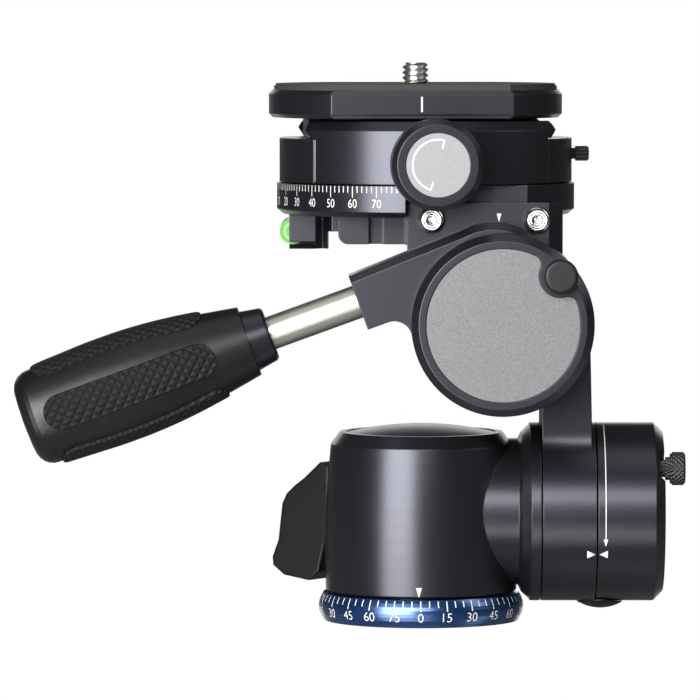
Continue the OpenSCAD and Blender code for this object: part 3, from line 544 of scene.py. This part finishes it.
def camera_screw():
    pitch = 1.27
    centre = Vector(turned(PLATE_SHIFT, 0, 0))
    around = 40
    low, high = 126.2, 131.05
    rows = 90
    points = []
    faces = []
    for row in range(rows + 1):
        z = low + (high - low) * row / rows
        for i in range(around):
            a = 2 * math.pi * i / around
            phase = ((z - low) / pitch - i / around) % 1.0
            depth = 0.78 * abs(2 * phase - 1)
            fade = min(1.0, max(0.0, (high - z) / 0.7))
            r = 3.15 - depth - 0.45 * (1 - fade)
            points.append((centre.x + r * math.cos(a), centre.y + r * math.sin(a), z))
    for row in range(rows):
        for i in range(around):
            j = (i + 1) % around
            a = row * around
            faces.append([a + i, a + j, a + around + j, a + around + i])
    faces.append([rows * around + i for i in range(around)])
    faces.append([i for i in reversed(range(around))])
    return add_mesh("camera_screw_thread", points, faces, bright, "camera_screw", smooth=True)


camera_screw()


def screw_shank():
    """The screw's head and neck below the pad."""
    centre = Vector(turned(PLATE_SHIFT, 0, 0))
    outline = [(0, 115.2), (9, 115.2), (9, 118.2), (2.35, 118.2), (2.35, 126.2)]
    around = 64
    points = []
    faces = []
    for r, z in outline:
        for i in range(around):
            a = 2 * math.pi * i / around
            points.append((centre.x + r * math.cos(a), centre.y + r * math.sin(a), z))
    for row in range(len(outline) - 1):
        for i in range(around):
            j = (i + 1) % around
            a = row * around
            faces.append([a + i, a + j, a + around + j, a + around + i])
    return add_mesh("camera_screw_shank", points, faces, bright, "camera_screw")


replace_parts(screw_shank(), "camera_screw")


# Floor, light and camera

def make_floor():
    mesh = bpy.data.meshes.new("floor")
    half = 3.0
    corners = [(-half, -half, 0), (half, -half, 0), (half, half, 0), (-half, half, 0)]
    mesh.from_pydata(corners, [], [(0, 1, 2, 3)])
    floor = bpy.data.objects.new("floor", mesh)
    floor.location.z = -0.0002
    bpy.context.scene.collection.objects.link(floor)
    mat = bpy.data.materials.new("floor_white")
    mat.use_nodes = True
    tree = mat.node_tree
    tree.nodes.clear()
    out = tree.nodes.new("ShaderNodeOutputMaterial")
    mix = tree.nodes.new("ShaderNodeMixShader")
    path = tree.nodes.new("ShaderNodeLightPath")
    plain = tree.nodes.new("ShaderNodeEmission")
    plain.inputs["Color"].default_value = (1.0, 1.0, 1.0, 1.0)
    plain.inputs["Strength"].default_value = 1.0
    matte = tree.nodes.new("ShaderNodeBsdfPrincipled")
    matte.inputs["Base Color"].default_value = (0.6, 0.6, 0.6, 1.0)
    matte.inputs["Metallic"].default_value = 0.6
    matte.inputs["Roughness"].default_value = 0.12
    tree.links.new(path.outputs["Is Camera Ray"], mix.inputs["Fac"])
    tree.links.new(matte.outputs[0], mix.inputs[1])
    tree.links.new(plain.outputs[0], mix.inputs[2])
    tree.links.new(mix.outputs[0], out.inputs["Surface"])
    mesh.materials.append(mat)


def make_world():
    world = bpy.data.worlds.new("studio")
    bpy.context.scene.world = world
    world.use_nodes = True
    tree = world.node_tree
    tree.nodes.clear()
    out = tree.nodes.new("ShaderNodeOutputWorld")
    mix = tree.nodes.new("ShaderNodeMixShader")
    path = tree.nodes.new("ShaderNodeLightPath")
    seen = tree.nodes.new("ShaderNodeBackground")
    seen.inputs["Color"].default_value = (1.0, 1.0, 1.0, 1.0)
    lit = tree.nodes.new("ShaderNodeBackground")
    lit.inputs["Color"].default_value = (0.9, 0.93, 1.0, 1.0)
    lit.inputs["Strength"].default_value = 0.07
    tree.links.new(path.outputs["Is Camera Ray"], mix.inputs["Fac"])
    tree.links.new(lit.outputs[0], mix.inputs[1])
    tree.links.new(seen.outputs[0], mix.inputs[2])
    tree.links.new(mix.outputs[0], out.inputs["Surface"])


def softbox(name, azimuth, elevation, distance, width, height, watts, colour=(1.0, 1.0, 1.0)):
    """A soft light that faces the head. Azimuth is degrees to the right of the camera's side."""
    data = bpy.data.lights.new(name, "AREA")
    data.shape = "RECTANGLE"
    data.size = width
    data.size_y = height
    data.energy = watts
    data.color = colour
    lamp = bpy.data.objects.new(name, data)
    bpy.context.scene.collection.objects.link(lamp)
    a, e = math.radians(azimuth), math.radians(elevation)
    away = Vector((math.sin(a) * math.cos(e), -math.cos(a) * math.cos(e), math.sin(e)))
    aim = Vector((0.0, 0.0, 0.07))
    lamp.location = aim + away * distance
    lamp.rotation_euler = away.to_track_quat("Z", "Y").to_euler()


make_floor()
make_world()
softbox("key_left", -28, 12, 0.9, 0.6, 0.6, 19.5)
softbox("front_fill", 0, 22, 1.3, 0.5, 0.4, 6.0)
softbox("side_right", 76, 34, 1.0, 0.35, 0.6, 2.2)
softbox("top", -20, 78, 1.0, 0.9, 0.6, 1.6)
softbox("back", 180, 9, 1.2, 1.2, 0.25, 1.8)

# The camera looks from the front, as far off as the photo's perspective asks. Pixels are the photo's.
PHOTO_PIXELS = 700.0
FOCAL_PIXELS = 6200.0
HORIZON_PIXELS = 347.0
CAMERA_PLACE = (-16.75, -1457.0, 145.0)

scene = bpy.context.scene
camera_data = bpy.data.cameras.new("camera")
camera_data.sensor_width = 36.0
camera_data.lens = 36.0 * FOCAL_PIXELS / PHOTO_PIXELS
camera_data.clip_start = 0.05
camera_data.clip_end = 20.0
camera = bpy.data.objects.new("camera", camera_data)
scene.collection.objects.link(camera)
camera.location = Vector(CAMERA_PLACE) * MM
camera.rotation_euler = (math.radians(90.0) - math.atan(HORIZON_PIXELS / FOCAL_PIXELS), 0.0, 0.0)
scene.camera = camera
scene.view_settings.view_transform = "Standard"
